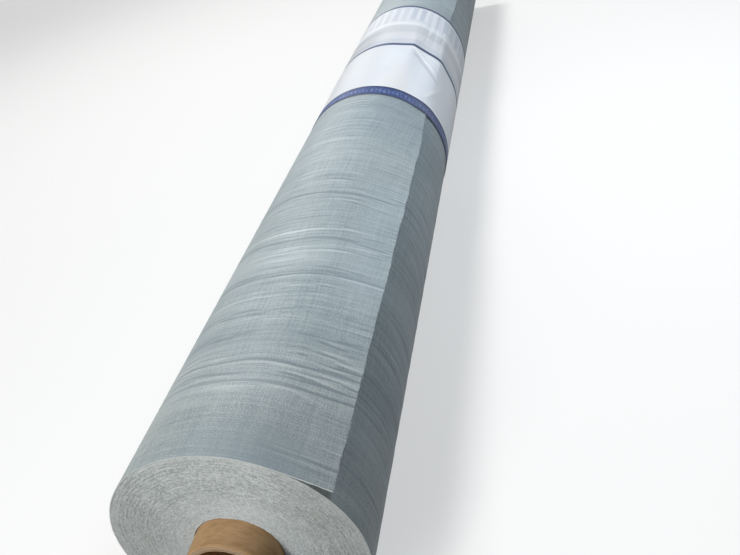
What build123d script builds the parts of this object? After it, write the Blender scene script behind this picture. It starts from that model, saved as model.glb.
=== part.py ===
from build123d import *
import math
import os

# Driving dimensions, in millimetres and degrees
sheet_width = 1500.0
roll_diameter = 177.0
sheet_thickness = 0.43

# The cardboard tube that the sheet is wound on
core_outer_diameter = 60.0
core_wall = 5.0
core_overhang = 20.0
core_edge_chamfer = 0.4
core_clearance = 0.2

# The wrapped label
label_width = 366.0
label_thickness = 0.2
label_clearance = 0.2
label_lap_start = 112.0
label_lap_angle = 16.0

# Angles run from the top of the roll towards -Y, the side that the free end lies on.
# The label buckles over the free end in its middle and lies almost flat at its two edges.
label_fold_angle = 31.4
label_fold_lift = 3.4
label_edge_lift = 0.1
label_span_bow = 0.2
tail_edge_angle = 58.6
tail_lift_open = 7.4
tail_lift_pressed = 0.6
tail_lift_mid_label = 3.3
tail_rise_length = 110.0
tail_root_sink = 0.15

# The turns that stand uneven on both ends
turn_ridges = 12
turn_ridge_depth = 0.9
turn_ridge_spread = 0.4
turn_ridge_rhythm = 2.0

# How finely the rise of the free end and the label's buckle are followed
rise_steps = 5
buckle_steps = 3
lap_overlap = 0.1

# How much of a rise off the roll is reached at half its angle: just over a straight run
half_way_lift = 0.3

roll_radius = roll_diameter / 2
core_outer_radius = core_outer_diameter / 2
core_bore_radius = core_outer_radius - core_wall
roll_bore_radius = core_outer_radius + core_clearance
label_inner_radius = roll_radius + label_clearance
label_outer_radius = label_inner_radius + label_thickness
axis_height = label_outer_radius
roll_axis = Axis((0, 0, axis_height), (1, 0, 0))


def around(angle, radius):
    """A point of a cross-section as its Y and Z, from its angle off the top."""
    turn = math.radians(angle)
    return (-radius * math.sin(turn), axis_height + radius * math.cos(turn))


def tangent_span(circle_radius, point_radius):
    """The angle between a point and where its tangent touches the circle."""
    return math.degrees(math.acos(circle_radius / point_radius))


def tail_section(lift):
    """The four corners of the free end of the sheet where its edge stands off by lift."""
    edge_radius = roll_radius + lift
    root_radius = roll_radius - tail_root_sink
    root_angle = tail_edge_angle - tangent_span(roll_radius, edge_radius)
    root = Vector(*around(root_angle, root_radius))
    edge = Vector(*around(tail_edge_angle, edge_radius))
    run = (edge - root).normalized()
    inward = Vector(-run.Y, run.X) * sheet_thickness
    return [root, edge, edge + inward, root + inward]


def turned_end():
    """Distance from the middle and radius of each corner of one end, from the rim to the bore."""
    pitch = (roll_radius - roll_bore_radius) / turn_ridges
    corners = []
    for ridge in range(turn_ridges):
        crest = roll_radius - ridge * pitch
        depth = turn_ridge_depth * (1 + turn_ridge_spread * math.sin(turn_ridge_rhythm * ridge))
        corners.append((sheet_width / 2, crest))
        corners.append((sheet_width / 2 - depth, crest - pitch / 2))
    corners.append((sheet_width / 2, roll_bore_radius))
    return corners


def eased(share):
    """A share from 0 to 1 that starts and ends gently."""
    return (1 - math.cos(math.pi * share)) / 2


def buckle(place):
    """How much of the label's buckle there is: 1 in its middle and 0 at its edges."""
    return 1 - eased(abs(place) / (label_width / 2))


def tail_lift(place):
    """How far the free edge stands off the roll at a place along it."""
    beyond = abs(place) - label_width / 2
    if beyond < 0:
        return tail_lift_pressed + (tail_lift_mid_label - tail_lift_pressed) * buckle(place)
    share = min(beyond / tail_rise_length, 1)
    return tail_lift_pressed + (tail_lift_open - tail_lift_pressed) * eased(share)


def stations(first, last, steps):
    """Evenly spaced places along the roll, the last one left out."""
    return [first + (last - first) * step / steps for step in range(steps)]


def label_outline(place, growth):
    """Draws the label's outline at a place, growth outside its inner face."""
    share = buckle(place)
    fold_lift = label_edge_lift + (label_fold_lift - label_edge_lift) * share
    edge_lift = tail_lift(place)
    rise = tangent_span(label_inner_radius, label_inner_radius + label_fold_lift)
    fall = tangent_span(label_inner_radius, label_inner_radius + tail_lift_mid_label)
    half_span = (tail_edge_angle - label_fold_angle) / 2
    ridge_radius = label_inner_radius + (label_fold_lift + tail_lift_mid_label) / 2
    bowed_chord = ridge_radius * math.cos(math.radians(half_span)) + label_span_bow
    span_lift = (bowed_chord - label_inner_radius) * share + edge_lift * (1 - share) * half_way_lift
    route = [
        (label_fold_angle - rise, 0),
        (label_fold_angle - rise / 2, fold_lift * half_way_lift),
        (label_fold_angle, fold_lift),
        (label_fold_angle + half_span, span_lift),
        (tail_edge_angle, edge_lift),
        (tail_edge_angle + fall / 2, edge_lift * half_way_lift),
        (tail_edge_angle + fall, 0),
        ((label_fold_angle - rise + tail_edge_angle + fall + 360) / 2, 0),
        (label_fold_angle - rise, 0),
    ]
    points = [around(angle, label_inner_radius + lift + growth) for angle, lift in route]
    for first in range(0, len(points) - 1, 2):
        ThreePointArc(*points[first:first + 3])


# The wound sheet, turned about the axis with its bore
with BuildPart() as felt_roll:
    with BuildSketch(Plane.XZ):
        with BuildLine():
            right = [(x, axis_height + r) for x, r in turned_end()]
            left = [(-x, z) for x, z in reversed(right)]
            Polyline(*right, *left, close=True)
        make_face()
    revolve(axis=roll_axis)
    # The free end of the sheet, which stands off the roll as a straight span
    label_edge = label_width / 2
    half = [
        *stations(sheet_width / 2, label_edge + tail_rise_length, 1),
        *stations(label_edge + tail_rise_length, label_edge, rise_steps),
        *stations(label_edge, 0, buckle_steps),
    ]
    for place in [*half, 0, *[-place for place in reversed(half)]]:
        with BuildSketch(Plane.YZ.offset(place)):
            with BuildLine():
                Polyline(*tail_section(tail_lift(place)), close=True)
            make_face()
    loft(ruled=True)
felt_roll.part.label = "felt_roll"

# The cardboard tube
with BuildPart() as core_tube:
    core_length = sheet_width + 2 * core_overhang
    with BuildSketch(Plane.YZ.offset(-core_length / 2)):
        with Locations((0, axis_height)):
            Circle(core_outer_radius)
            Circle(core_bore_radius, mode=Mode.SUBTRACT)
    extrude(amount=core_length)
    chamfer(core_tube.edges().filter_by(GeomType.CIRCLE), core_edge_chamfer)
core_tube.part.label = "core_tube"

# The label, drawn round the roll and buckled over the free end of the sheet
with BuildPart() as label_band:
    half = stations(label_width / 2, 0, buckle_steps)
    places = [*half, 0, *[-place for place in reversed(half)]]
    for place in places:
        with BuildSketch(Plane.YZ.offset(place)):
            with BuildLine():
                label_outline(place, label_thickness)
            make_face()
    loft(ruled=True)
    for place in places:
        with BuildSketch(Plane.YZ.offset(place)):
            with BuildLine():
                label_outline(place, 0)
            make_face()
    loft(ruled=True, mode=Mode.SUBTRACT)
    # The outer end of the label, glued down over its start
    lap_end = 360 - label_lap_start
    lap_begin = lap_end - label_lap_angle
    lap_low = label_outer_radius - lap_overlap
    lap_high = label_outer_radius + label_thickness
    with BuildSketch(Plane.YZ.offset(-label_width / 2)):
        with BuildLine():
            middle = (lap_begin + lap_end) / 2
            ThreePointArc(around(lap_begin, lap_high), around(middle, lap_high), around(lap_end, lap_high))
            Line(around(lap_end, lap_high), around(lap_end, lap_low))
            ThreePointArc(around(lap_end, lap_low), around(middle, lap_low), around(lap_begin, lap_low))
            Line(around(lap_begin, lap_low), around(lap_begin, lap_high))
        make_face()
    extrude(amount=label_width)
label_band.part.label = "label_band"

os.makedirs("parts", exist_ok=True)
export_step(felt_roll.part, "parts/felt_roll.step")
export_step(core_tube.part, "parts/core_tube.step")
export_step(label_band.part, "parts/label_band.step")
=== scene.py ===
import math
from math import pi, radians, tau

import bmesh
import bpy
import numpy as np
from mathutils import Matrix, Vector
from numpy.random import default_rng


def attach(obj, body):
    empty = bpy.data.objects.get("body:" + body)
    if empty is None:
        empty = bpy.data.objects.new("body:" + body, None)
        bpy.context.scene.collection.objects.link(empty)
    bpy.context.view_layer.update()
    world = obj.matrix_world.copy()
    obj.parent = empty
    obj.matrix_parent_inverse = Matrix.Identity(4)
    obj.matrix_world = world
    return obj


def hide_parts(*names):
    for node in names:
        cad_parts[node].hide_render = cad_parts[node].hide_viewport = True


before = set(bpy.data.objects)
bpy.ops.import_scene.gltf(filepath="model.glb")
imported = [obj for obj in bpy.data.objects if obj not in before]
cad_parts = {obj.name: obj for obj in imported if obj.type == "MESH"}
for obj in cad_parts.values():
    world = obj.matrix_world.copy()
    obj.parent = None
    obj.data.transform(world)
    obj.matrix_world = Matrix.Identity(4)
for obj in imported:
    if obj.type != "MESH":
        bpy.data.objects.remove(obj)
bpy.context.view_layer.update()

# Sizes of the wound sheet, in metres
MM = 1e-3
HALF_WIDTH = 0.75
RADIUS = 0.0885
SHEET = 0.00043
TURN_PITCH = 0.000435

# The free end of the sheet: how far its edge stands off the roll, and over what length it rises
TAIL_LIFT = 0.0074
TAIL_LIFT_PRESSED = 0.0007
TAIL_LIFT_MID_LABEL = 0.0033
TAIL_RISE = 0.13

# The cardboard tube
CORE_OUTER = 0.03
CORE_WALL = 0.005
CORE_OVERHANG = 0.02
CORE_CLEARANCE = 0.0002
CORE_INNER = CORE_OUTER - CORE_WALL
CORE_HALF = HALF_WIDTH + CORE_OVERHANG
BORE = CORE_OUTER + CORE_CLEARANCE
SEAM_LEAD = 0.19
SEAM_WIDTH = 0.0007

# The label
LABEL_HALF = 0.183
LABEL_PAPER = 0.0002
LABEL_CLEARANCE = 0.0002
LABEL_RADIUS = RADIUS + LABEL_CLEARANCE
LABEL_GAP = 0.00012
LABEL_SKEW = 0.0075
LABEL_FOLD_LIFT = 0.0034
LABEL_SPAN_BOW = 0.0002
STRIPE_WIDTH = 0.0245
DASH_PITCH = 0.0052
COLUMN_PITCH = 0.0135

AXIS_HEIGHT = LABEL_RADIUS + LABEL_PAPER

# Angles from the top of the roll towards -Y, in degrees
TAIL_EDGE = 58.6
WRAP_SEAM = 40.0
LABEL_FOLD = 31.4
LABEL_LAP_START = 112
LABEL_LAP = 16

# How finely the outermost turn is followed, round the roll, along the free end and along the roll
ROUND_POINTS = 76
TAIL_POINTS = 12
NEAR_PLACES = 690
LABEL_PLACES = 26
FAR_PLACES = 235

# The height of a crease that the materials read as 1
CREASE_UNIT = 0.4 * MM

# The wrinkles that show most plainly: place along the roll in millimetres, first and last angle,
# height in millimetres, below zero for a hollow, and width in millimetres
PLAIN_WRINKLES = [
    (-277, -8, 40, 0.2, 2.0),
    (-391, -20, 40, 0.24, 1.7),
    (-434, -26, 50, 0.28, 1.7),
    (-472, -12, 32, 0.1, 1.6),
    (-497, -24, 62, 0.26, 1.6),
    (-511, -10, 55, -0.14, 2.0),
    (-531, -30, 62, 0.28, 1.6),
    (-545, -4, 30, 0.1, 2.6),
    (-567, -45, 62, 0.26, 1.6),
    (-590, -34, 62, 0.17, 1.5),
    (-618, -14, 20, 0.18, 1.5),
    (-637, -12, 15, -0.17, 1.7),
    (-647, -2, 22, -0.13, 1.7),
    (-668, -45, 62, 0.3, 1.5),
    (-679, -40, 10, 0.16, 1.4),
    (-688, -45, 62, 0.3, 1.5),
    (-697, -40, 16, 0.16, 1.3),
    (-708, 6, 34, -0.2, 1.8),
]

# Fainter wrinkles towards the near end, written the same way
FAINT_WRINKLES = [
    (-605, -50, -8, 0.09, 1.3),
    (-626, -52, -12, 0.1, 1.3),
    (-655, -54, -18, 0.1, 1.3),
    (-661, 30, 54, 0.13, 1.1),
    (-674, 34, 58, 0.14, 1.0),
    (-681, 26, 48, 0.11, 1.0),
    (-693, 36, 58, -0.15, 1.1),
    (-701, 28, 52, 0.14, 1.1),
    (-706, -56, -8, 0.14, 1.4),
    (-715, -58, 10, 0.2, 1.5),
    (-723, -52, -2, 0.24, 1.4),
    (-728, -18, 28, 0.24, 1.6),
]

# Wrinkles nearer to the end of the roll than this have a hollow beside them as deep as they are high
DEEP_HOLLOWS_FROM = -640

# How many random wrinkles each half has: its side, the long ones, the short ones and the folds
RANDOM_WRINKLES = [(-1, 80, 250, 34), (1, 90, 170, 34)]
FAINT_FOLDS = 12

# How far from the middle of the roll the wrinkles bend most, and how far that reaches to either side
BEND_PLACE = 0.53
BEND_REACH = 0.11

# Sharp creases of the label, each from one place along it, in metres, and angle to another,
# then its height and width in millimetres, with a height below zero for a dent
LABEL_CREASES = [
    (-0.014, 32, -0.058, 57, 0.6, 3.5),
    (-0.03, 34, -0.085, 62, -0.38, 4.5),
    (-0.019, 38, -0.024, 67, 0.45, 3.0),
    (0.02, 36, 0.11, 47, 0.24, 2.75),
    (-0.146, 53, -0.086, 69, 0.42, 3.5),
    (0.05, 52, 0.15, 66, -0.18, 2.5),
]


# Curves and meshes

def wave_sum(rng, low, high, count):
    """A smooth random function of a length or angle, about -1 to 1, with waves from low to high."""
    waves = np.exp(rng.uniform(math.log(low), math.log(high), count))
    phases = rng.uniform(0, tau, count)
    weights = rng.uniform(0.5, 1.0, count)
    weights = weights / np.sqrt((weights ** 2).sum() / 2) * 0.6

    def curve(place):
        parts = zip(waves, phases, weights)
        return sum(weight * np.sin(tau * place / wave + phase) for wave, phase, weight in parts)

    return curve


def smoothstep(low, high, value):
    """A soft step from 0 at low to 1 at high."""
    share = np.clip((value - low) / (high - low), 0, 1)
    return share * share * (3 - 2 * share)


def eased(share):
    """A share from 0 to 1 that starts and ends gently."""
    return (1 - np.cos(pi * np.clip(share, 0, 1))) / 2


def outward(angle):
    """The outward direction at an angle off the top, as Y and Z."""
    return -np.sin(angle), np.cos(angle)


def around_axis(x, angle, radius):
    """Points from their place along the roll, angle off the top and distance from its axis."""
    side, up = outward(angle)
    return np.stack(np.broadcast_arrays(x, side * radius, AXIS_HEIGHT + up * radius), -1)


def build_mesh(name, points, faces, attributes):
    """A smooth mesh object from arrays of points and faces, with named numbers on its points."""
    mesh = bpy.data.meshes.new(name)
    mesh.from_pydata(points.tolist(), [], faces)
    for key, values in attributes.items():
        values = np.asarray(values, np.float32)
        kind = "FLOAT" if values.ndim == 1 else "FLOAT_VECTOR"
        layer = mesh.attributes.new(key, kind, "POINT")
        layer.data.foreach_set("value" if kind == "FLOAT" else "vector", values.ravel())
    mesh.update()
    mesh.validate()
    mesh.polygons.foreach_set("use_smooth", np.full(len(mesh.polygons), True))
    obj = bpy.data.objects.new(name, mesh)
    bpy.context.scene.collection.objects.link(obj)
    return obj


def grid_faces(rows, columns, close_columns=False, close_rows=False):
    """Quads between neighbouring rows of points."""
    row = np.arange(rows if close_rows else rows - 1)[:, None]
    column = np.arange(columns if close_columns else columns - 1)[None, :]
    this, below = row * columns, (row + 1) % rows * columns
    after = (column + 1) % columns
    quads = [this + column, this + after, below + after, below + column]
    return np.stack(quads, axis=-1).reshape(-1, 4).tolist()


def grid_border(rows, columns):
    """The points along the border of a grid, in order round it."""
    grid = np.arange(rows * columns).reshape(rows, columns)
    return np.concatenate([grid[0], grid[1:, -1], grid[-1, -2::-1], grid[-2:0:-1, 0]]).tolist()


def close_behind(obj, back_place):
    """Gives an open relief a flat back at a place along the roll, so that it is a closed body."""
    body = bmesh.new()
    body.from_mesh(obj.data)
    rim = [edge for edge in body.edges if edge.is_boundary]
    grown = bmesh.ops.extrude_edge_only(body, edges=rim)["geom"]
    for item in grown:
        if isinstance(item, bmesh.types.BMVert):
            item.co.x = back_place
    loose = [edge for edge in body.edges if edge.is_boundary]
    bmesh.ops.bridge_loops(body, edges=loose)
    bmesh.ops.recalc_face_normals(body, faces=body.faces)
    body.to_mesh(obj.data)
    body.free()


# The free end and the wrinkles of the sheet

def buckle(x):
    """How much of the label's buckle there is: 1 in its middle and 0 at its edges."""
    return 1 - eased(np.abs(x) / LABEL_HALF)


def tail_lift(x):
    """How far the free edge stands off the roll at each place along it."""
    away = np.sin(pi / 2 * np.clip((np.abs(x) - LABEL_HALF) / TAIL_RISE, 0, 1))
    return (TAIL_LIFT_PRESSED + (TAIL_LIFT - TAIL_LIFT_PRESSED) * away
            + (TAIL_LIFT_MID_LABEL - TAIL_LIFT_PRESSED) * buckle(x))


def free_edge(x, rng):
    """The free end: where it leaves the roll at each place, its length, how free, its fray and painted
    highlight.
    """
    sway = wave_sum(rng, 0.03, 0.16, 8)
    ripple = wave_sum(rng, 0.006, 0.02, 10)
    fray = wave_sum(rng, 0.0021, 0.005, 12)
    free = smoothstep(LABEL_HALF, LABEL_HALF + 0.05, np.abs(x))
    lift = tail_lift(x) + free * (0.32 * MM * sway(x) + 0.12 * MM * ripple(x))
    stray = 0.3 * MM * sway(x + 0.4) + 0.15 * MM * ripple(x + 0.3) + 0.18 * MM * fray(x)
    angle = radians(TAIL_EDGE) + free * stray / RADIUS
    span = np.arccos(RADIUS / (RADIUS + lift))
    fray_and_highlight = np.clip(0.5 + 0.8 * fray(x + 0.2), 0, 1)
    return angle - span, RADIUS * np.tan(span), free, fray_and_highlight


def lean_to_label(x, angle):
    """How far the sheet is drawn along the roll, so that its wrinkles bend towards the label."""
    away = np.abs(x)
    pulled = np.exp(-((away - BEND_PLACE) / BEND_REACH) ** 2)
    right = np.clip(angle - radians(8), 0, radians(54))
    left = np.sin(pi * np.clip((radians(-4) - angle) / radians(110), 0, 1))
    lean = (0.003 + 0.021 * pulled) * right + (0.004 + 0.004 * pulled) * left - 0.0035 * pulled
    calm = smoothstep(0.0, 0.07, HALF_WIDTH - away) * smoothstep(0.005, 0.09, away - LABEL_HALF)
    return -np.sign(x) * lean * calm


class Wrinkles:
    """Narrow ridges that run round the roll, each with its own place, span, slant and height."""

    def __init__(self, rng):
        self.ridges = [self.placed_ridge(rng, *wrinkle) for wrinkle in PLAIN_WRINKLES]
        for side, long_count, short_count, fold_count in RANDOM_WRINKLES:
            for number in range(long_count + short_count):
                self.ridges.append(self.random_ridge(rng, side, number < long_count))
            for _ in range(fold_count):
                self.ridges.append(self.fold(rng, side, 0.03, 0.33))
        self.swell = wave_sum(rng, 0.018, 0.07, 12)
        self.swell_turn = wave_sum(rng, 0.8, 2.8, 5)
        faint_rng = default_rng(23)
        self.ridges += [self.placed_ridge(faint_rng, *wrinkle) for wrinkle in FAINT_WRINKLES]
        self.ridges += [self.fold(faint_rng, -1, 0.045, 0.11) for _ in range(FAINT_FOLDS)]

    def placed_ridge(self, rng, place, first, last, height, width):
        """A ridge at a place along the roll in millimetres, from a first to a last angle."""
        return {
            "x": place * MM,
            "middle": radians((first + last) / 2),
            "span": radians((last - first) / 2 * 1.1),
            "height": height * MM,
            "width": width * MM,
            "hollow": 1.0 if place < DEEP_HOLLOWS_FROM else 0.5,
            "slant": rng.normal(0, 1.2) * MM,
            "sway": wave_sum(rng, 0.5, 2.0, 4),
            "sway_size": 0.9 * MM,
            "fade": wave_sum(rng, 0.4, 1.4, 4),
            "fade_size": 0.25,
        }

    def random_ridge(self, rng, side, is_long):
        """A ridge with a hollow beside it. Most lie in the middle of the bare stretch."""
        depth = rng.beta(1.8, 1.7) if is_long else rng.beta(1.25, 1.2)
        x = side * (HALF_WIDTH - 0.05 - depth * (HALF_WIDTH - 0.05 - LABEL_HALF))
        middle = radians(rng.uniform(-300, 58))
        if rng.random() < 0.6:
            middle = radians(rng.uniform(-50, 40))
        return {
            "x": x,
            "middle": middle,
            "span": radians(rng.uniform(34, 95) if is_long else rng.uniform(9, 38)),
            "height": rng.uniform(0.04, 0.15) * MM if is_long else rng.uniform(0.03, 0.1) * MM,
            "width": rng.uniform(0.9, 1.6) * MM if is_long else rng.uniform(0.8, 1.2) * MM,
            "hollow": rng.uniform(0.35, 1.0),
            "slant": rng.normal(0, 1.1) * MM,
            "sway": wave_sum(rng, 0.4, 2.0, 4),
            "sway_size": rng.uniform(0.4, 1.3) * MM,
            "fade": wave_sum(rng, 0.25, 1.1, 4),
            "fade_size": 0.6,
        }

    def fold(self, rng, side, nearest, farthest):
        """A short slanting hollow beside the free edge, so far from the end of the roll."""
        ridge = self.random_ridge(rng, side, False)
        ridge.update({
            "x": side * (HALF_WIDTH - rng.uniform(nearest, farthest)),
            "middle": radians(rng.uniform(38, 56)),
            "span": radians(rng.uniform(8, 17)),
            "height": -rng.uniform(0.13, 0.32) * MM,
            "slant": rng.choice([-1, 1]) * rng.uniform(4, 13) * MM,
        })
        return ridge

    def height(self, x, angle):
        """Height over the roll for a column of x and a row of angles."""
        total = np.zeros((len(x), len(angle)))
        for ridge in self.ridges:
            line = ridge["x"] + ridge["slant"] * (angle - ridge["middle"])
            line = line + ridge["sway_size"] * ridge["sway"](angle)
            reach = 3.6 * ridge["width"]
            rows = (x > line.min() - reach) & (x < line.max() + reach)
            along = (angle - ridge["middle"]) / ridge["span"]
            fade = np.clip(0.7 + ridge["fade_size"] * ridge["fade"](angle), 0.05, None)
            size = np.exp(-along ** 4) * fade
            off = (x[rows][:, None] - line[None, :]) / ridge["width"]
            crest = np.exp(-off ** 2) - ridge["hollow"] * np.exp(-((off - 1.7) ** 2) / 1.4)
            total[rows] += ridge["height"] * crest * size[None, :]
        broad = 0.045 * MM * self.swell(x)[:, None] * (1 + 0.6 * self.swell_turn(angle)[None, :])
        from_end = HALF_WIDTH - np.abs(x)
        from_label = np.abs(x) - LABEL_HALF
        calm_end = 0.1 + 0.9 * smoothstep(0.012, 0.085, from_end)
        bare = smoothstep(-0.004, 0.012, from_label) * (0.22 + 0.78 * smoothstep(0.04, 0.23, from_label))
        return (total + broad) * (calm_end * bare)[:, None]


# The outermost turn of the sheet

def wrap_places():
    """Places along the roll where the sheet's outline is set, closest on the half that shows most."""
    under_label = LABEL_HALF - 0.006
    near = np.linspace(-HALF_WIDTH, -under_label, NEAR_PLACES)
    middle = np.linspace(-under_label, under_label, LABEL_PLACES)[1:-1]
    far = np.linspace(under_label, HALF_WIDTH, FAR_PLACES)
    return np.concatenate([near, middle, far])


def wrap_faces(rows, columns):
    """The faces of the outermost turn: its skin, both its cut ends and the hidden wall inside it."""
    faces = grid_faces(rows, columns, close_columns=True)
    first, last = TAIL_POINTS, TAIL_POINTS + ROUND_POINTS - 1
    inner_count = ROUND_POINTS - 1
    near_ring = rows * columns
    far_ring = near_ring + inner_count
    for base, ring in ((0, near_ring), ((rows - 1) * columns, far_ring)):
        cut = [
            [base + first + step, base + first + step + 1, ring + (step + 1) % inner_count, ring + step]
            for step in range(inner_count)
        ]
        cut.append([base + first, ring, base + last])
        for step in range(TAIL_POINTS):
            over, under = base + first - step, base + last + step
            cut.append([over, under, under + 1, over - 1])
        cut.append([base, base + last + TAIL_POINTS, base + columns - 1])
        faces += cut if ring == far_ring else [face[::-1] for face in cut]
    for step in range(inner_count):
        after = (step + 1) % inner_count
        faces.append([near_ring + step, far_ring + step, far_ring + after, near_ring + after])
    return faces


def make_felt_wrap(rng):
    """The outermost turn of the sheet with its free end, as one closed skin."""
    x = wrap_places()
    root, reach, free, fray_and_highlight = free_edge(x, rng)
    share = np.linspace(0, 1, ROUND_POINTS)
    tail_share = np.append(np.linspace(0, 1, TAIL_POINTS)[1:-1] ** 0.9, [0.985, 1.0])

    wrinkles = Wrinkles(rng)
    round_angles = radians(WRAP_SEAM) - tau * share
    tail_angles = radians(WRAP_SEAM) + radians(TAIL_EDGE - WRAP_SEAM) * tail_share
    round_height = wrinkles.height(x, round_angles)
    tail_height = wrinkles.height(x, tail_angles)
    seam_height = round_height[:, :1]
    # The wrinkles die out towards the seam under the free end
    round_height[:, -8:] *= np.linspace(1, 0, 8)[None, :]

    angle = root[:, None] - tau * share[None, :]
    wound = around_axis(x[:, None], angle, RADIUS - SHEET * share[None, :] + round_height)

    root_side, root_up = outward(root)
    run_side, run_up = -np.cos(root), -np.sin(root)
    run = reach[:, None] * tail_share[None, :]
    blend = np.minimum(tail_share * 5, 1)[None, :]
    bulge = tail_height * blend + seam_height * (1 - blend)
    curl = 0.35 * MM * np.sin(pi * tail_share)[None, :] * free[:, None]

    def tail_face(drop):
        """The straight run of the free end, so far below its outer face."""
        off = RADIUS - drop + bulge + curl
        side = root_side[:, None] * off + run_side[:, None] * run
        up = root_up[:, None] * off + run_up[:, None] * run
        return np.stack(np.broadcast_arrays(x[:, None], side, AXIS_HEIGHT + up), -1)

    over = tail_face(0.0)
    under = tail_face(SHEET)
    rim = (over[:, -1:] + under[:, -1:]) / 2
    rim[:, :, 1] += 0.1 * MM * run_side[:, None]
    rim[:, :, 2] += 0.1 * MM * run_up[:, None]
    loop = np.concatenate([over[:, ::-1], wound, under, rim], axis=1)
    rows, columns = loop.shape[:2]

    # The ends of the sheet are cut a little unevenly
    uneven = wave_sum(rng, radians(1.6), radians(9), 14)
    loop_angle = np.arctan2(-loop[0, :, 1], loop[0, :, 2] - AXIS_HEIGHT)
    loop[0, :, 0] -= 0.16 * MM * uneven(loop_angle)
    loop[-1, :, 0] += 0.16 * MM * uneven(loop_angle + 2)
    place = loop[:, :, 0].copy()
    lean_angle = np.concatenate([tail_angles[::-1], round_angles, tail_angles, tail_angles[-1:]])
    loop[:, :, 0] += lean_to_label(place, lean_angle[None, :])

    inner_angle = root[0] + radians(1.5) - tau * share[:-1]
    inner_end = HALF_WIDTH - 0.4 * MM
    inner = [around_axis(end, inner_angle, RADIUS - 2.2 * SHEET) for end in (-inner_end, inner_end)]
    points = np.concatenate([loop.reshape(-1, 3), *inner])

    # Numbers for the material: place and length along the sheet, height of the wrinkles, cut edges
    round_arc = np.broadcast_to(-tau * RADIUS * share[None, :], angle.shape)
    arc = np.concatenate([run[:, ::-1], round_arc, run, run[:, -1:]], axis=1)
    crest = np.concatenate([bulge[:, ::-1], round_height, np.zeros((rows, TAIL_POINTS + 1))], axis=1)
    cut = np.zeros((rows, columns))
    # Along the free edge the pale cut line is partly frayed fibres and partly a painted highlight
    cut[:, 0] = 0.45 + 0.55 * fray_and_highlight
    cut[:, -2] = 0.8
    cut[:, -1] = 1.0
    cut[[0, -1]] = 1.0
    sheet = np.stack([place, arc, np.zeros_like(arc)], -1).reshape(-1, 3)
    hidden = len(points) - len(sheet)
    attributes = {
        "sheet": np.concatenate([sheet, np.zeros((hidden, 3))]),
        "crease": np.concatenate([crest.ravel() / CREASE_UNIT, np.zeros(hidden)]),
        "cut": np.concatenate([cut.ravel(), np.ones(hidden)]),
    }
    return build_mesh("felt_wrap", points, wrap_faces(rows, columns), attributes)


# The turns that show on the ends

def make_turn_edges(name, end, rng):
    """The spiral of sheet edges that shows on one end, each turn a little in or out."""
    steps, rings = 210, 3
    turns = int((RADIUS - 1.6 * SHEET - BORE) / TURN_PITCH)
    rows = turns * rings + 1
    ring = np.arange(rows)
    step = np.arange(steps)
    turn = ring[:, None] / rings + step[None, :] / steps
    radius = BORE + TURN_PITCH * turn
    broad = wave_sum(rng, 5.0, 26.0, 9)(turn)
    close = wave_sum(rng, 2.0, 4.5, 14)(turn)
    whole = ring // rings

    def along_turns(reach):
        """A random value for every step of the wound edge, alike over a short reach of it."""
        raw = rng.normal(0, 1, (turns + 3) * steps)
        smooth = np.convolve(raw, np.ones(reach), "same") / math.sqrt(reach)
        smooth = 0.75 * smooth + 0.5 * np.roll(smooth, -steps)
        return smooth[whole[:, None] * steps + step[None, :]]

    grains = 0.8 * along_turns(1) + 0.4 * along_turns(3)
    height = (0.06 * broad + 0.01 * close + 0.1 * grains) * MM
    valley = (ring % rings == 0)[:, None]
    nicks = rng.normal(0, 1, radius.shape) * 0.05 * MM
    height = np.where(valley, height - 0.16 * MM, height) + nicks
    height = np.clip(height - 0.25 * MM, -1.6 * MM, 0.45 * MM)
    angle = -end * tau * step[None, :] / steps
    points = around_axis(end * (HALF_WIDTH + height), angle, radius).reshape(-1, 3)

    faces = grid_faces(rows, steps)
    # Each turn runs on into the next one where the circle closes
    for row in range(rows - 1 - rings):
        low = row * steps + steps - 1
        high = (row + rings) * steps
        faces.append([low, high, high + steps, low + steps])
    if end < 0:
        faces = [face[::-1] for face in faces]
    tone = 0.5 + 0.02 * close + 0.06 * broad + 0.14 * grains
    attributes = {
        "tone": tone.ravel(),
        "valley": np.broadcast_to(valley, radius.shape).astype(float).ravel(),
        "depth": (height / MM).ravel(),
    }
    obj = build_mesh(name, points, faces, attributes)
    close_behind(obj, end * (HALF_WIDTH - 0.004))
    return obj


# The cardboard tube

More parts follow.
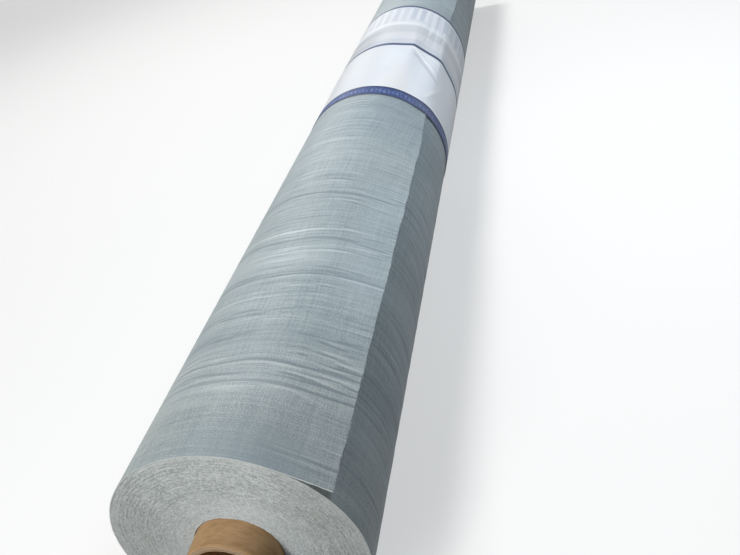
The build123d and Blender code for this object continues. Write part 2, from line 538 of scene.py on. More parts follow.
def make_core(rng):
    """The tube with its wound plies, a seam that winds round it and slightly worn ends."""
    around, plies = 120, 18
    worn = wave_sum(rng, 0.4, 2.5, 8)
    out_of_round = wave_sum(rng, pi / 2, pi, 2)
    near_rim = np.linspace(-CORE_HALF, 0.024 - CORE_HALF, 30)
    between = np.linspace(0.05 - CORE_HALF, CORE_HALF - 0.05, 60)
    x = np.concatenate([near_rim, between, -near_rim[::-1]])
    # Angles from the seam, closer together beside it
    from_seam = np.linspace(0, tau, around, endpoint=False)
    from_seam = from_seam - 0.21 * np.sin(from_seam)
    off_seam = np.minimum(from_seam, tau - from_seam) * CORE_OUTER
    groove = np.exp(-((off_seam / SEAM_WIDTH) ** 2))
    angle = from_seam[None, :] + tau / SEAM_LEAD * x[:, None]

    def wall(base, sign):
        """The outer face of the tube, or its bore with the sign turned."""
        radius = base - sign * 0.06 * MM * groove[None, :] + 0.08 * MM * out_of_round(angle)
        tip = smoothstep(0.0012, 0.0, CORE_HALF - np.abs(x))[:, None]
        radius = radius - sign * 0.45 * MM * tip * (1 + 0.4 * worn(angle))
        lift = 0.18 * MM * worn(angle * 1.7 + 1) * tip
        return around_axis(x[:, None] + np.sign(x)[:, None] * lift, angle, radius)

    def cut(edge_out, edge_in, end):
        """The edges of the plies across one end, some a little deeper."""
        share = np.linspace(0, 1, plies + 2)[1:-1]
        rows = edge_out[None] * (1 - share[:, None, None]) + edge_in[None] * share[:, None, None]
        relief = np.where(np.arange(plies) % 3 == 0, -0.14 * MM, 0.05 * MM)[:, None]
        rows[:, :, 0] += end * (relief + 0.05 * MM * rng.normal(0, 1, rows.shape[:2]))
        return rows

    outer, inner = wall(CORE_OUTER, 1), wall(CORE_INNER, -1)
    near = cut(outer[0], inner[0], -1)
    far = cut(outer[-1], inner[-1], 1)
    loop = np.concatenate([outer, far, inner[::-1], near[::-1]])
    radius = np.hypot(loop[:, :, 1], loop[:, :, 2] - AXIS_HEIGHT)
    paper = np.stack([loop[:, :, 0], from_seam[None, :] * radius, radius], -1)
    is_cut = np.zeros((len(loop), around))
    is_cut[len(x):len(x) + plies] = 1
    is_cut[-plies:] = 1
    seam = np.where(is_cut > 0, 0, groove[None, :])
    attributes = {
        "sheet": paper.reshape(-1, 3),
        "cut": is_cut.ravel(),
        "crease": seam.ravel(),
    }
    faces = grid_faces(len(loop), around, close_columns=True, close_rows=True)
    return build_mesh("core_paper", loop.reshape(-1, 3), faces, attributes)


# The label

def soften(profile, degrees):
    """A profile over a whole turn, in steps of a tenth of a degree, with its corners rounded."""
    reach = np.arange(-3 * degrees, 3 * degrees, 0.1)
    weight = np.exp(-(reach / degrees) ** 2)
    weight = weight / weight.sum()
    padded = np.concatenate([profile[-len(weight):], profile, profile[:len(weight)]])
    return np.convolve(padded, weight, "same")[len(weight):-len(weight)]


def widen(profile, degrees):
    """A profile over a whole turn with its tops made wider, so that rounding doesn't lower them."""
    reach = round(degrees * 10)
    return np.max([np.roll(profile, step) for step in range(-reach, reach + 1)], axis=0)


def label_lifts():
    """The label's rise off the roll over a whole turn, creased and rounded, and over the pressed edge."""
    degrees = np.arange(0, 360, 0.1)
    fold_radius = LABEL_RADIUS + LABEL_FOLD_LIFT
    edge_radius = LABEL_RADIUS + TAIL_LIFT_MID_LABEL
    rise = math.degrees(math.acos(LABEL_RADIUS / fold_radius))
    fall = math.degrees(math.acos(LABEL_RADIUS / edge_radius))
    corners = [(LABEL_FOLD - rise, LABEL_RADIUS), (LABEL_FOLD, fold_radius),
               (TAIL_EDGE, edge_radius), (TAIL_EDGE + fall, LABEL_RADIUS)]
    tight = np.zeros(len(degrees))
    # The paper runs straight from each corner to the next
    for (first, first_radius), (last, last_radius) in zip(corners, corners[1:]):
        here = (degrees >= first) & (degrees < last)
        passed, left = np.radians(degrees[here] - first), np.radians(last - degrees[here])
        triangle = first_radius * last_radius * math.sin(radians(last - first))
        reach = triangle / (first_radius * np.sin(passed) + last_radius * np.sin(left))
        tight[here] = reach - LABEL_RADIUS
    span = (degrees > LABEL_FOLD) & (degrees < TAIL_EDGE)
    bow = np.sin(pi * (degrees[span] - LABEL_FOLD) / (TAIL_EDGE - LABEL_FOLD))
    tight[span] += LABEL_SPAN_BOW * bow
    pressed = np.interp(degrees, [44, TAIL_EDGE, 69], [0, TAIL_LIFT_PRESSED, 0])
    return soften(widen(tight, 0.8), 1.2), soften(widen(tight, 2.2), 3.8), soften(widen(pressed, 1.6), 2.0)


def label_radius(x, angle):
    """The label's inner radius at each place along it and each angle, in radians."""
    place = (np.degrees(angle) % 360) / 0.1
    creased, rounded, pressed = (
        np.interp(place, np.arange(len(lift)), lift)[None, :] for lift in label_lifts()
    )
    share = buckle(x)[:, None]
    # Only the fold keeps a crisp crease: over the free end's edge the paper stays rounded
    at_fold = smoothstep(radians(52), radians(42), angle)[None, :]
    sharp = smoothstep(0.07, 0.0, np.abs(x))[:, None] * at_fold
    tight = creased * sharp + rounded * (1 - sharp)
    radius = LABEL_RADIUS + tight * share + pressed * (1 - share)
    # The paper never cuts into the free end that it passes over
    edge = radians(TAIL_EDGE)
    tail_radius = RADIUS + tail_lift(x)[:, None]
    root = edge - np.arccos(RADIUS / tail_radius)
    over_tail = (angle[None, :] > root) & (angle[None, :] < edge + radians(0.7))
    tail_face = np.minimum(RADIUS / np.cos(np.clip(angle[None, :] - root, 0, 1)), tail_radius)
    return np.where(over_tail, np.maximum(radius, tail_face + LABEL_GAP), radius)


def label_dents(rng, along, turn):
    """Soft random dents all over the label, and its few sharp creases."""
    dent = np.zeros(np.broadcast_shapes(along.shape, turn.shape))
    for _ in range(46):
        middle_x = rng.uniform(-LABEL_HALF, LABEL_HALF)
        middle_turn = radians(rng.uniform(-110, 240))
        reach_x, reach_turn = rng.uniform(0.01, 0.045), rng.uniform(0.05, 0.22)
        tilt = rng.uniform(-0.6, 0.6)
        off_x = (along - middle_x) / reach_x
        off_turn = (turn - middle_turn - tilt * (along - middle_x) / 0.09) / reach_turn
        dent += rng.uniform(-0.12, 0.22) * MM * np.exp(-off_x ** 2 - off_turn ** 2)
    for x0, angle0, x1, angle1, size, width in LABEL_CREASES:
        from_x, from_arc = along - x0, (turn - radians(angle0)) * RADIUS
        run_x, run_arc = x1 - x0, radians(angle1 - angle0) * RADIUS
        length = math.hypot(run_x, run_arc)
        share = (from_x * run_x + from_arc * run_arc) / length ** 2
        off = (from_x * run_arc - from_arc * run_x) / length
        body = smoothstep(-0.12, 0.12, share) * smoothstep(1.15, 0.8, share)
        dent += size * MM * body * np.exp(-(off / (width * MM)) ** 2)
    return dent


def make_label(rng):
    """The paper label, wrapped tight round the roll with its outer end glued over its start."""
    rows, around = 150, 190
    x = np.linspace(-LABEL_HALF, LABEL_HALF, rows)
    lap_end = 360 - LABEL_LAP_START
    lap_begin = lap_end - LABEL_LAP
    # Angles along the label and the share of its points that lie before each, closer at the buckle
    degrees = [lap_begin - 360, -62, 0, 10, 28, 35, 56, 62, 90, lap_begin, lap_end]
    before = [0, 0.12, 0.27, 0.31, 0.4, 0.48, 0.6, 0.68, 0.76, 0.97, 1.0]
    angle = np.interp(np.linspace(0, 1, around), before, np.radians(degrees))
    base = label_radius(x, angle)
    along, turn = x[:, None], angle[None, :]
    dent = label_dents(rng, along, turn)

    near_tail = np.exp(-((turn - radians(45)) / radians(40)) ** 2)
    ribs = wave_sum(rng, 0.05, 0.16, 9)(turn) * 0.05 * MM * smoothstep(-0.01, 0.05, along)
    edge_wave = wave_sum(rng, 0.15, 0.6, 8)(turn)
    hem = np.exp(-(LABEL_HALF - np.abs(along)) / 0.006) * np.exp(-((turn - 0.9) / 0.9) ** 2)
    dent = dent + ribs * (1 + near_tail) + hem * (0.07 + 0.1 * edge_wave) * MM
    lap_rise = radians(lap_end - LABEL_LAP / 2)
    wrapped = smoothstep(lap_rise, radians(lap_end) + 0.02, turn)
    radius = np.maximum(base + dent, LABEL_RADIUS - 0.08 * MM) + wrapped * (LABEL_PAPER + 0.04 * MM)

    trim = wave_sum(rng, 0.3, 2.0, 6)(angle) * 0.25 * MM
    shift = np.zeros_like(base)
    shift[0] -= trim
    shift[-1] += trim
    # The label was wrapped a little skew, so its near edge leans towards the near end at the free edge
    lean = LABEL_SKEW * np.exp(-((turn - radians(20)) / radians(75)) ** 2)
    shift = shift - lean * smoothstep(-0.1, -LABEL_HALF, along)

    outside = around_axis(along + shift, turn, radius + LABEL_PAPER)
    inside = around_axis(along + shift, turn, radius)
    # The roll's weight presses the paper flat where it rests
    outside[:, :, 2] = np.maximum(outside[:, :, 2], 0.04 * MM)
    count = rows * around
    front = grid_faces(rows, around)
    faces = [quad[::-1] for quad in front] + [[corner + count for corner in quad] for quad in front]
    border = grid_border(rows, around)
    for a, b in zip(border, border[1:] + border[:1]):
        faces.append([a, b, b + count, a + count])
    flat = np.stack(np.broadcast_arrays(along, turn * RADIUS, np.zeros_like(base)), -1).reshape(-1, 3)
    cut = np.zeros((rows, around))
    cut[[0, -1]] = 1
    cut[:, [0, -1]] = 1
    attributes = {
        "sheet": np.concatenate([flat, flat]),
        "crease": np.concatenate([dent.ravel() / CREASE_UNIT] * 2),
        "cut": np.concatenate([cut.ravel()] * 2),
    }
    points = np.concatenate([outside.reshape(-1, 3), inside.reshape(-1, 3)])
    return build_mesh("label_paper", points, faces, attributes)


# Materials

class Graph:
    """The nodes of a material or of the world, added one by one."""

    def __init__(self, tree):
        self.nodes = tree.nodes
        self.links = tree.links

    def join(self, source, socket):
        """Feeds a socket from another one, or from a plain number, vector or colour."""
        if hasattr(source, "links"):
            self.links.new(source, socket)
        elif socket.type == "RGBA":
            socket.default_value = (*source, 1.0)
        else:
            socket.default_value = source

    def add(self, kind, inputs, **settings):
        """The outputs of a new node, with its settings made and its inputs fed."""
        node = self.nodes.new("ShaderNode" + kind)
        for key, value in settings.items():
            setattr(node, key, value)
        for key, source in inputs.items():
            self.join(source, node.inputs[key])
        return node.outputs

    def attribute(self, name, output="Fac"):
        """A number, or with "Vector" three of them, that the mesh carries on its points."""
        return self.add("Attribute", {}, attribute_name=name)[output]

    def position(self):
        """Where the shaded point lies on its object."""
        return self.add("TexCoord", {})["Object"]

    def split(self, vector):
        """The three parts of a vector."""
        return self.add("SeparateXYZ", {0: vector})

    def math(self, operation, a, b=0.0):
        """One sum on two values."""
        return self.add("Math", {0: a, 1: b}, operation=operation)[0]

    def product(self, first, *others):
        """All the values multiplied."""
        for other in others:
            first = self.math("MULTIPLY", first, other)
        return first

    def weighted(self, *terms):
        """The sum of values, each given with its weight."""
        total = self.product(*terms[0])
        for term in terms[1:]:
            total = self.math("ADD", total, self.product(*term))
        return total

    def noise(self, vector, scale, detail=3.0, rough=0.55):
        """Random values, with so many waves a metre."""
        inputs = {"Vector": vector, "Scale": scale, "Detail": detail, "Roughness": rough}
        return self.add("TexNoise", inputs)["Fac"]

    def stretched_noise(self, vector, scales, detail=3.0, rough=0.55):
        """Noise with its own waves a metre along each axis."""
        stretched = self.add("VectorMath", {0: vector, 1: scales}, operation="MULTIPLY")[0]
        return self.noise(stretched, 1.0, detail, rough)

    def chance(self, number):
        """A random value for every whole number."""
        return self.add("TexWhiteNoise", {"W": number}, noise_dimensions="1D")["Value"]

    def spread(self, value, low, high, to_low=0.0, to_high=1.0):
        """A soft step from to_low to to_high, as the value goes from low to high."""
        inputs = {"Value": value, "From Min": low, "From Max": high, "To Min": to_low, "To Max": to_high}
        return self.add("MapRange", inputs, interpolation_type="SMOOTHSTEP")["Result"]

    def band(self, value, low, high, soft=0.0004):
        """1 where the value lies between low and high, and 0 outside."""
        rise = self.spread(value, low - soft, low + soft)
        return self.product(rise, self.spread(value, high - soft, high + soft, 1.0, 0.0))

    def mix(self, share, a, b, way="MIX"):
        """Colour a with its share of colour b."""
        inputs = {"Factor": share, "A": a, "B": b}
        return self.add("Mix", inputs, data_type="RGBA", blend_type=way)["Result"]

    def tint(self, colour, tone, *shares):
        """The colour drawn towards a tone, by the product of the shares."""
        return self.mix(self.product(*shares), colour, tone)

    def darken(self, colour, tone, *shares):
        """The colour multiplied by a tone, by the product of the shares."""
        return self.mix(self.product(*shares), colour, tone, "MULTIPLY")

    def bump(self, height, distance, strength, under=None):
        """A fine relief, laid over another one where that is given."""
        inputs = {"Height": height, "Distance": distance, "Strength": strength}
        if under is not None:
            inputs["Normal"] = under
        return self.add("Bump", inputs)[0]

    def background_rays(self):
        """1 for rays that show the background itself, 0 for the light that it throws back."""
        path = self.add("LightPath", {})
        seen = self.math("MAXIMUM", path["Is Camera Ray"], path["Is Glossy Ray"])
        return self.math("MAXIMUM", seen, path["Is Transmission Ray"])


class Material(Graph):
    """The nodes of one material, with its shader."""

    def __init__(self, name, roughness, specular):
        self.material = bpy.data.materials.new(name)
        self.material.use_nodes = True
        super().__init__(self.material.node_tree)
        self.shader = self.nodes["Principled BSDF"].inputs
        self.join(roughness, self.shader["Roughness"])
        self.join(specular, self.shader["Specular IOR Level"])

    def finish(self, colour, rough=None, normal=None):
        """Joins what is given to the shader and returns the material."""
        for source, name in ((colour, "Base Color"), (rough, "Roughness"), (normal, "Normal")):
            if source is not None:
                self.join(source, self.shader[name])
        return self.material


# The sheet's colours: the weave between deep and pale, raised creases, hollows, marks and cut edges.
# The crest colour is stress whitening and a painted highlight, the cut colour frayed fibres and a
# painted highlight, the hollow colour painted shade, and the cool colour a painted sky reflection
FELT_PALE = (0.457, 0.513, 0.522)
FELT_DEEP = (0.212, 0.262, 0.29)
FELT_CREST = (0.65, 0.71, 0.718)
FELT_HOLLOW = (0.145, 0.187, 0.216)
FELT_MARK = (0.1, 0.13, 0.16)
FELT_CUT = (0.68, 0.71, 0.7)
FELT_COOL = (0.6, 0.69, 0.76)

# The width of one pair of the tapes that the sheet is woven of, in metres
TAPE_PAIR = 0.0019

# Broad fields of painted shade on the sheet: tone, where each one sets in and is full along the roll, and
# along the sheet round it
FELT_PAINTED_SHADE = [
    ((0.95, 0.943, 0.93), (-0.36, -0.5), (-0.02, -0.075)),
    ((0.905, 0.925, 0.955), (-0.35, -0.27), (-0.08, -0.02)),
    ((0.83, 0.83, 0.84), (-0.65, -0.725), (-0.05, 0.005)),
]


def paint_felt_light_and_shade(g, colour, x, arc):
    """Painted light and shade over the sheet, along the roll and round it."""
    # Painted shade: the sheet darkens towards the near end
    colour = g.darken(colour, (0.95, 0.93, 0.9), g.spread(x, -0.59, -0.72))
    # Broad fields of painted shade
    for tone, along, across in FELT_PAINTED_SHADE:
        colour = g.darken(colour, tone, g.spread(x, *along), g.spread(arc, *across))
    # A cool painted sky reflection on the right side, over the free end, part way along the roll
    middle = g.product(g.spread(x, -0.355, -0.43), g.spread(x, -0.64, -0.56))
    colour = g.tint(colour, FELT_COOL, middle, g.spread(arc, -0.02, 0.016), 0.16)

    # Two rings with a painted highlight on their left, and a ring of painted shade all round
    left = g.spread(arc, 0.01, -0.03)
    rings = (
        (-0.535, 0.045, FELT_CREST, 0.16, left),
        (-0.64, 0.026, FELT_DEEP, 0.26, 1.0),
        (-0.686, 0.024, FELT_CREST, 0.12, left),
    )
    for place, reach, tone, share, side in rings:
        ring = g.product(g.spread(x, place - reach, place), g.spread(x, place + reach, place))
        colour = g.tint(colour, tone, ring, side, share)
    # A patch of painted shade on the top of the sheet by the near end
    near_end_shade = g.product(g.spread(x, -0.712, -0.738), g.spread(arc, -0.082, -0.04), g.spread(arc, 0.032, 0.01))
    return g.tint(colour, FELT_DEEP, near_end_shade, 0.48)


def felt_material():
    """Grey woven sheet: fine rings, whitened creases with painted highlight, painted shade in hollows."""
    g = Material("felt_face", roughness=0.58, specular=0.16)
    g.join(0.05, g.shader["Sheen Weight"])
    g.join(0.4, g.shader["Sheen Roughness"])
    sheet = g.attribute("sheet", "Vector")
    x, arc, _ = g.split(sheet)
    crease = g.attribute("crease")
    cut = g.attribute("cut")

    wobble = g.noise(sheet, 160, 2)
    across = g.math("SINE", g.weighted((x, tau / TAPE_PAIR), (wobble, 9.0)))
    along = g.math("SINE", g.weighted((arc, tau / TAPE_PAIR), (wobble, 9.0)))
    weave = g.weighted((across, 0.5), (along, 0.4))
    streaks = g.stretched_noise(sheet, (9, 520, 1), 4)
    rings = g.stretched_noise(sheet, (330, 9, 1), 4)
    broad_rings = g.stretched_noise(sheet, (95, 6, 1))
    cloud = g.noise(sheet, 7)
    mottle = g.noise(sheet, 95, 3, 0.6)
    speckle = g.noise(sheet, 850, 3, 0.7)
    shade = g.weighted((cloud, 0.36), (mottle, 0.24), (streaks, 0.3), (rings, 0.36), (broad_rings, 0.14),
                       (weave, 0.085), (speckle, 0.9))
    colour = g.mix(g.spread(shade, 0.85, 1.45), FELT_DEEP, FELT_PALE)

    threads = g.stretched_noise(sheet, (430, 11, 1), 2, 0.6)
    patches = g.spread(g.stretched_noise(sheet, (22, 14, 1), 2), 0.42, 0.62, 0.3, 1.0)
    colour = g.tint(colour, FELT_CREST, g.spread(threads, 0.56, 0.68), 0.42, patches)
    colour = g.tint(colour, FELT_HOLLOW, g.spread(threads, 0.44, 0.34), 0.5, patches)
    # Stress whitening and a painted highlight on the crests of the wrinkles, painted shade in their
    # hollows
    colour = g.tint(colour, FELT_CREST, g.spread(crease, 0.12, 0.6), 0.42)
    colour = g.tint(colour, FELT_HOLLOW, g.spread(crease, -0.06, -0.34), 0.56)
    colour = paint_felt_light_and_shade(g, colour, x, arc)
    marks = g.stretched_noise(sheet, (60, 170, 1), 1)
    colour = g.tint(colour, FELT_MARK, g.spread(marks, 0.8, 0.84), 0.5)
    # Pale cut edges: partly frayed fibres, partly a painted highlight along the free edge
    colour = g.tint(colour, FELT_CUT, g.spread(cut, 0.4, 0.95), 0.9)

    normal = g.bump(g.weighted((weave, 0.35), (speckle, 1.3)), 0.09 * MM, 0.8)
    normal = g.bump(rings, 0.5 * MM, 0.55, normal)
    normal = g.bump(broad_rings, 0.9 * MM, 0.15, normal)
    normal = g.bump(mottle, 0.9 * MM, 0.22, normal)
    return g.finish(colour, g.spread(mottle, 0.3, 0.7, 0.48, 0.62), normal)


def edge_material():
    """The wound edge of the sheet: a pale grain, painted shade to both sides, between turns and on sunk
    turns.
    """
    g = Material("felt_edges", roughness=0.8, specular=0.25)
    place = g.position()
    tone = g.attribute("tone")
    valley = g.attribute("valley")
    depth = g.attribute("depth")
    _, y, z = g.split(place)
    from_axis = g.math("SUBTRACT", z, AXIS_HEIGHT)
    reach_squared = g.math("ADD", g.product(y, y), g.product(from_axis, from_axis))
    grain = g.noise(place, 620, 3, 0.75)
    speckle = g.noise(place, 1500, 2, 0.7)
    cloud = g.noise(place, 60)
    shade = g.weighted((tone, 0.55), (grain, 1.0), (speckle, 0.5), (cloud, 0.3))
    colour = g.mix(g.spread(shade, 0.8, 1.54), (0.285, 0.315, 0.309), (0.75, 0.792, 0.782))
    colour = g.tint(colour, (0.66, 0.71, 0.75), g.spread(reach_squared, 0.0036, 0.0012), 0.35)
    colour = g.tint(colour, (0.8, 0.83, 0.82), g.spread(reach_squared, 0.0066, 0.0076), 0.3)
    # Painted shade towards both sides of the end
    painted_side_shade = (0.26, 0.275, 0.27)
    colour = g.tint(colour, painted_side_shade, g.spread(y, -0.03, -0.08), 0.32)
    colour = g.tint(colour, painted_side_shade, g.spread(y, 0.02, 0.075), 0.26)
    # Painted shade between the turns and on turns set deeper in
    colour = g.tint(colour, (0.2, 0.21, 0.21), valley, 0.16)
    colour = g.tint(colour, (0.2, 0.22, 0.22), g.spread(depth, -0.35, -1.0), 0.35)
    return g.finish(colour, normal=g.bump(grain, 0.6 * MM, 0.8))


def cardboard_material():
    """Brown board with fibres along its plies, a darker seam and layered ends."""
    g = Material("core_board", roughness=0.78, specular=0.25)
    sheet = g.attribute("sheet", "Vector")
    cut = g.attribute("cut")
    seam = g.attribute("crease")
    fibres = g.stretched_noise(sheet, (900, 110, 1), 4, 0.65)
    streaks = g.stretched_noise(sheet, (190, 16, 1))
    cloud = g.noise(sheet, 60)
    shade = g.weighted((fibres, 0.5), (streaks, 0.35), (cloud, 0.25))
    colour = g.mix(g.spread(shade, 0.35, 0.75), (0.33, 0.19, 0.088), (0.53, 0.345, 0.185))
    plies = g.stretched_noise(sheet, (1, 20, 2600), 2)
    cut_colour = g.mix(g.spread(plies, 0.35, 0.65), (0.3, 0.2, 0.12), (0.5, 0.36, 0.24))
    colour = g.mix(cut, colour, cut_colour)
    colour = g.tint(colour, (0.12, 0.07, 0.04), seam, 0.12)
    return g.finish(colour, normal=g.bump(fibres, 0.3 * MM, 0.6))


# Painted light and shade on the label's paper round the roll: tone, where it sets in and is full, and
# share
LABEL_LIGHT_AND_SHADE = [
    ((0.57, 0.588, 0.612), 0.026, -0.002, 0.75),
    ((0.88, 0.92, 0.97), 0.046, 0.072, 0.75),
    ((0.95, 0.95, 0.96), 0.085, 0.105, 0.8),
]

# Faint bands across the far half of the label: from, to, tone and share
LABEL_BANDS = [
    (0.003, 0.018, (0.47, 0.51, 0.57), 0.4),
    (0.02, 0.046, (0.68, 0.655, 0.665), 0.35),
    (0.049, 0.081, (0.45, 0.465, 0.475), 0.42),
    (0.085, 0.099, (0.86, 0.88, 0.9), 0.4),
]


def label_paper_and_painted_light(g, sheet, arc, cloud):
    """The bare paper, with painted shade on the left and painted light towards the free edge."""
    colour = g.mix(g.spread(cloud, 0.3, 0.7), (0.655, 0.686, 0.742), (0.708, 0.738, 0.785))
    warm = g.stretched_noise(sheet, (6, 9, 1), 2)
    colour = g.tint(colour, (0.75, 0.742, 0.735), g.spread(warm, 0.48, 0.72), 0.8)
    for tone, low, high, share in LABEL_LIGHT_AND_SHADE:
        colour = g.tint(colour, tone, g.spread(arc, low, high), share)
    return colour


def label_columns(g, colour, sheet, x, arc):
    """Faint plain columns along the roll at the label's far edge, with pale gaps between them."""
    place = g.math("DIVIDE", arc, COLUMN_PITCH)
    chance = g.chance(g.math("FLOOR", place))
    across = g.math("FRACT", place)
    column = g.product(g.spread(across, 0.02, 0.3), g.spread(across, 0.95, 0.62))
    begin = g.math("ADD", g.product(chance, 0.024), 0.086)
    ends = g.product(g.spread(g.math("SUBTRACT", x, begin), 0.0, 0.012), g.spread(x, 0.172, 0.166))
    rows = g.stretched_noise(sheet, (90, 900, 1), 2)
    ink = g.math("ADD", 0.26, g.product(g.spread(rows, 0.4, 0.62), 0.24))
    own_ink = g.math("ADD", 0.2, g.product(chance, 1.1))
    colour = g.tint(colour, (0.3, 0.38, 0.52), column, ends, ink, own_ink)
    return g.tint(colour, (0.88, 0.91, 0.97), g.math("SUBTRACT", 1.0, column), ends, 0.5)


def label_bands(g, colour, x, arc):
    """The greyer far half of the label, the bands across it and a painted shadow on its left."""
    beyond = g.spread(x, 0.0, 0.004)
    fading = g.product(g.spread(x, 0.045, 0.085, 0.6, 0.45), g.spread(arc, 0.026, 0.056, 1.0, 0.45))
    colour = g.tint(colour, (0.53, 0.55, 0.593), beyond, fading)
    for low, high, tone, share in LABEL_BANDS:
        colour = g.tint(colour, tone, g.band(x, low, high, 0.004), share)
    # Painted shadow over the left side, just beyond the middle line
    left = g.spread(arc, 0.008, -0.024)
    return g.darken(colour, (0.72, 0.74, 0.76), g.band(x, 0.002, 0.07, 0.01), left)


def label_stripe(g, colour, sheet, x, arc):
    """The blue stripe along the near edge, with darker borders and a row of short worn dashes."""
    near_edge = -LABEL_HALF
    stain = g.stretched_noise(sheet, (160, 160, 1), 2)
    blue = g.mix(g.spread(stain, 0.35, 0.65), (0.027, 0.054, 0.165), (0.049, 0.09, 0.24))
    # Painted light: the stripe is paler towards the free edge
    blue = g.tint(blue, (0.115, 0.145, 0.26), g.spread(arc, 0.05, 0.085), 0.6)
    colour = g.mix(g.band(x, near_edge - 0.002, near_edge + STRIPE_WIDTH), colour, blue)
    dash = g.math("FRACT", g.math("DIVIDE", arc, DASH_PITCH))
    dashes = g.product(g.spread(dash, 0.2, 0.3), g.spread(dash, 0.8, 0.7))
    row = g.band(x, near_edge + 0.0075, near_edge + 0.016)
    worn = g.spread(g.noise(sheet, 260, 2), 0.42, 0.6)
    colour = g.tint(colour, (0.24, 0.3, 0.5), dashes, row, worn, 0.68)
    for low, high in ((-0.001, 0.0035), (STRIPE_WIDTH - 0.004, STRIPE_WIDTH)):
        colour = g.tint(colour, (0.012, 0.02, 0.065), g.band(x, near_edge + low, near_edge + high), 0.8)
    return colour


def label_material():
    """Plain pale paper with faint columns and bands, a blue stripe and two thin dark lines."""
    g = Material("label_face", roughness=0.5, specular=0.15)
    sheet = g.attribute("sheet", "Vector")
    x, arc, _ = g.split(sheet)
    cut = g.attribute("cut")
    crease = g.attribute("crease")
    cloud = g.noise(sheet, 14)
    colour = label_paper_and_painted_light(g, sheet, arc, cloud)
    colour = label_columns(g, colour, sheet, x, arc)
    colour = label_bands(g, colour, x, arc)
    colour = label_stripe(g, colour, sheet, x, arc)
    colour = g.tint(colour, (0.04, 0.066, 0.14), g.band(x, -0.0105, -0.0018, 0.0007))
    colour = g.tint(colour, (0.33, 0.38, 0.47), g.band(x, -0.002, 0.002), 0.5)
    # Painted highlight on the label's raised creases and painted shade in its dents
    colour = g.tint(colour, (0.93, 0.94, 0.95), g.spread(crease, 0.35, 1.0), 0.6)
    colour = g.tint(colour, (0.45, 0.48, 0.54), g.spread(crease, -0.2, -0.8), 0.48)
    colour = g.tint(colour, (0.7, 0.7, 0.72), cut, 0.2)
    colour = g.tint(colour, (0.045, 0.072, 0.15), g.band(x, LABEL_HALF - 0.008, LABEL_HALF + 0.002))
    normal = g.bump(g.noise(sheet, 700, 2), 0.04 * MM, 0.5)
    normal = g.bump(cloud, 3 * MM, 0.12, normal)
    return g.finish(colour, g.spread(cloud, 0.3, 0.7, 0.42, 0.56), normal)


def floor_material():
    """A pale floor that looks white, but throws little light back on the object."""
    g = Material("floor_paint", roughness=0.9, specular=0.2)
    seen = g.background_rays()
    g.join((1.0, 1.0, 0.995), g.shader["Emission Color"])
    g.join(g.product(seen, 0.48), g.shader["Emission Strength"])
    cloud = g.noise(g.position(), 1.2, 2)
    pale = g.mix(cloud, (0.42, 0.42, 0.418), (0.44, 0.44, 0.44))
    return g.finish(g.mix(seen, (0.13, 0.13, 0.13), pale))


# The pieces

felt_edges = edge_material()
pieces = {
    "felt_wrap": (make_felt_wrap(default_rng(7)), "felt", felt_material()),
    "turns_near": (make_turn_edges("turns_near", -1, default_rng(11)), "felt", felt_edges),
    "turns_far": (make_turn_edges("turns_far", 1, default_rng(12)), "felt", felt_edges),
    "core_paper": (make_core(default_rng(13)), "cardboard", cardboard_material()),
    "label_paper": (make_label(default_rng(14)), "label", label_material()),
}
for piece, slot, material in pieces.values():
    piece.data.materials.append(material)
    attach(piece, "root")
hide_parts("felt_roll")
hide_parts("core_tube")
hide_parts("label_band")

# The floor
FLOOR_HALF = 14.0
floor_corners = np.array([(-1, -1, 0), (1, -1, 0), (1, 1, 0), (-1, 1, 0)]) * FLOOR_HALF
floor = build_mesh("floor", floor_corners, [(0, 1, 2, 3)], {})
floor.data.materials.append(floor_material())

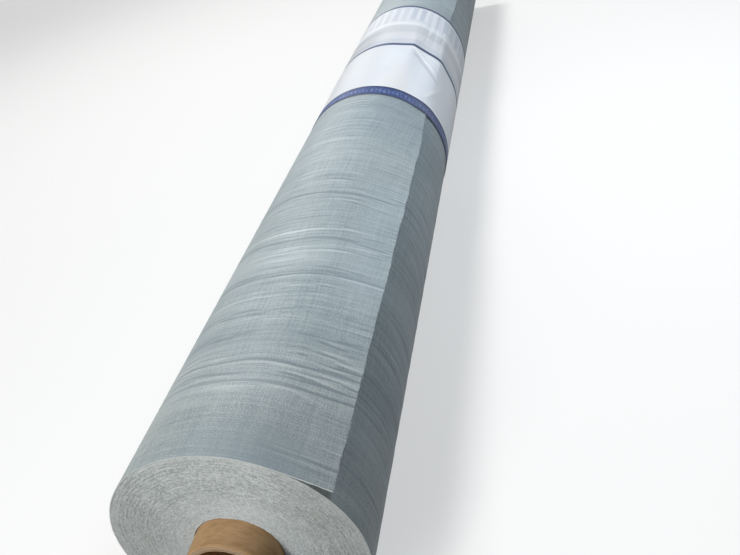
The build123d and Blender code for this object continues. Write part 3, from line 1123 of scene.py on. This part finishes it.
# The lamps: name, place, what each one points at, its width, watts and colour
LAMPS = [
    ("key", (-2.6, 0.9, 3.4), (-0.3, 0, 0.1), 1.0, 67, (1.0, 0.982, 0.945)),
    ("top", (1.2, 0.75, 2.4), (0.1, 0, 0.1), 0.7, 40.5, (1.0, 0.99, 0.98)),
    ("back", (6.6, 2.75, 2.45), (-0.3, 0, 0.1), 3.4, 60, (1.0, 0.985, 0.95)),
    ("side", (-0.12, -0.66, 1.0), (-0.12, 0, 0.1), 0.45, 5.3, (0.8, 0.9, 1.0)),
    ("front", (-2.0, 0.35, 0.55), (-0.75, 0, 0.1), 0.6, 3.3, (1.0, 1.0, 1.0)),
    ("end", (-1.22, 0.08, 0.45), (-0.75, 0, 0.08), 0.25, 1.0, (1.0, 0.995, 0.98)),
]
for name, place, target, width, power, colour in LAMPS:
    data = bpy.data.lights.new(name, "AREA")
    data.shape = "DISK"
    data.size = width
    data.energy = power
    data.color = colour
    lamp = bpy.data.objects.new(name, data)
    lamp.location = place
    lamp.rotation_euler = (Vector(target) - Vector(place)).to_track_quat("-Z", "Y").to_euler()
    lamp.visible_camera = False
    bpy.context.scene.collection.objects.link(lamp)

# The world: a faint cool light on the object, and a pale backdrop where it is seen itself
world = bpy.data.worlds.new("studio")
bpy.context.scene.world = world
world.use_nodes = True
sky = Graph(world.node_tree)
seen = sky.background_rays()
background = sky.nodes["Background"].inputs
sky.join(sky.spread(seen, 0.0, 1.0, 0.1, 0.9), background["Strength"])
sky.join(sky.mix(seen, (0.84, 0.92, 1.0), (0.96, 0.97, 0.98)), background["Color"])

# The camera, fitted to the roll's outline in the photograph: its place is in radii from the middle
# of the near end, and its focal length in pixels of the picture
PICTURE_WIDTH = 740
FOCAL_PIXELS = 734.017
SENSOR_WIDTH = 36.0
CAMERA_PLACE = Vector((-3.01398, -2.75909, 4.18484))
CAMERA_UP = Vector((0.5778273, -0.13421626, 0.80504756))
CAMERA_BACK = Vector((-0.7993955, -0.29196248, 0.52509499))
camera_data = bpy.data.cameras.new("camera")
camera_data.sensor_width = SENSOR_WIDTH
camera_data.lens = FOCAL_PIXELS / PICTURE_WIDTH * SENSOR_WIDTH
camera = bpy.data.objects.new("camera", camera_data)
bpy.context.scene.collection.objects.link(camera)
end_centre = Vector((-HALF_WIDTH, 0, AXIS_HEIGHT))
turned = Matrix((CAMERA_UP.cross(CAMERA_BACK), CAMERA_UP, CAMERA_BACK)).transposed().to_4x4()
camera.matrix_world = Matrix.Translation(end_centre + CAMERA_PLACE * RADIUS) @ turned
bpy.context.scene.camera = camera
bpy.context.scene.view_settings.view_transform = "Standard"
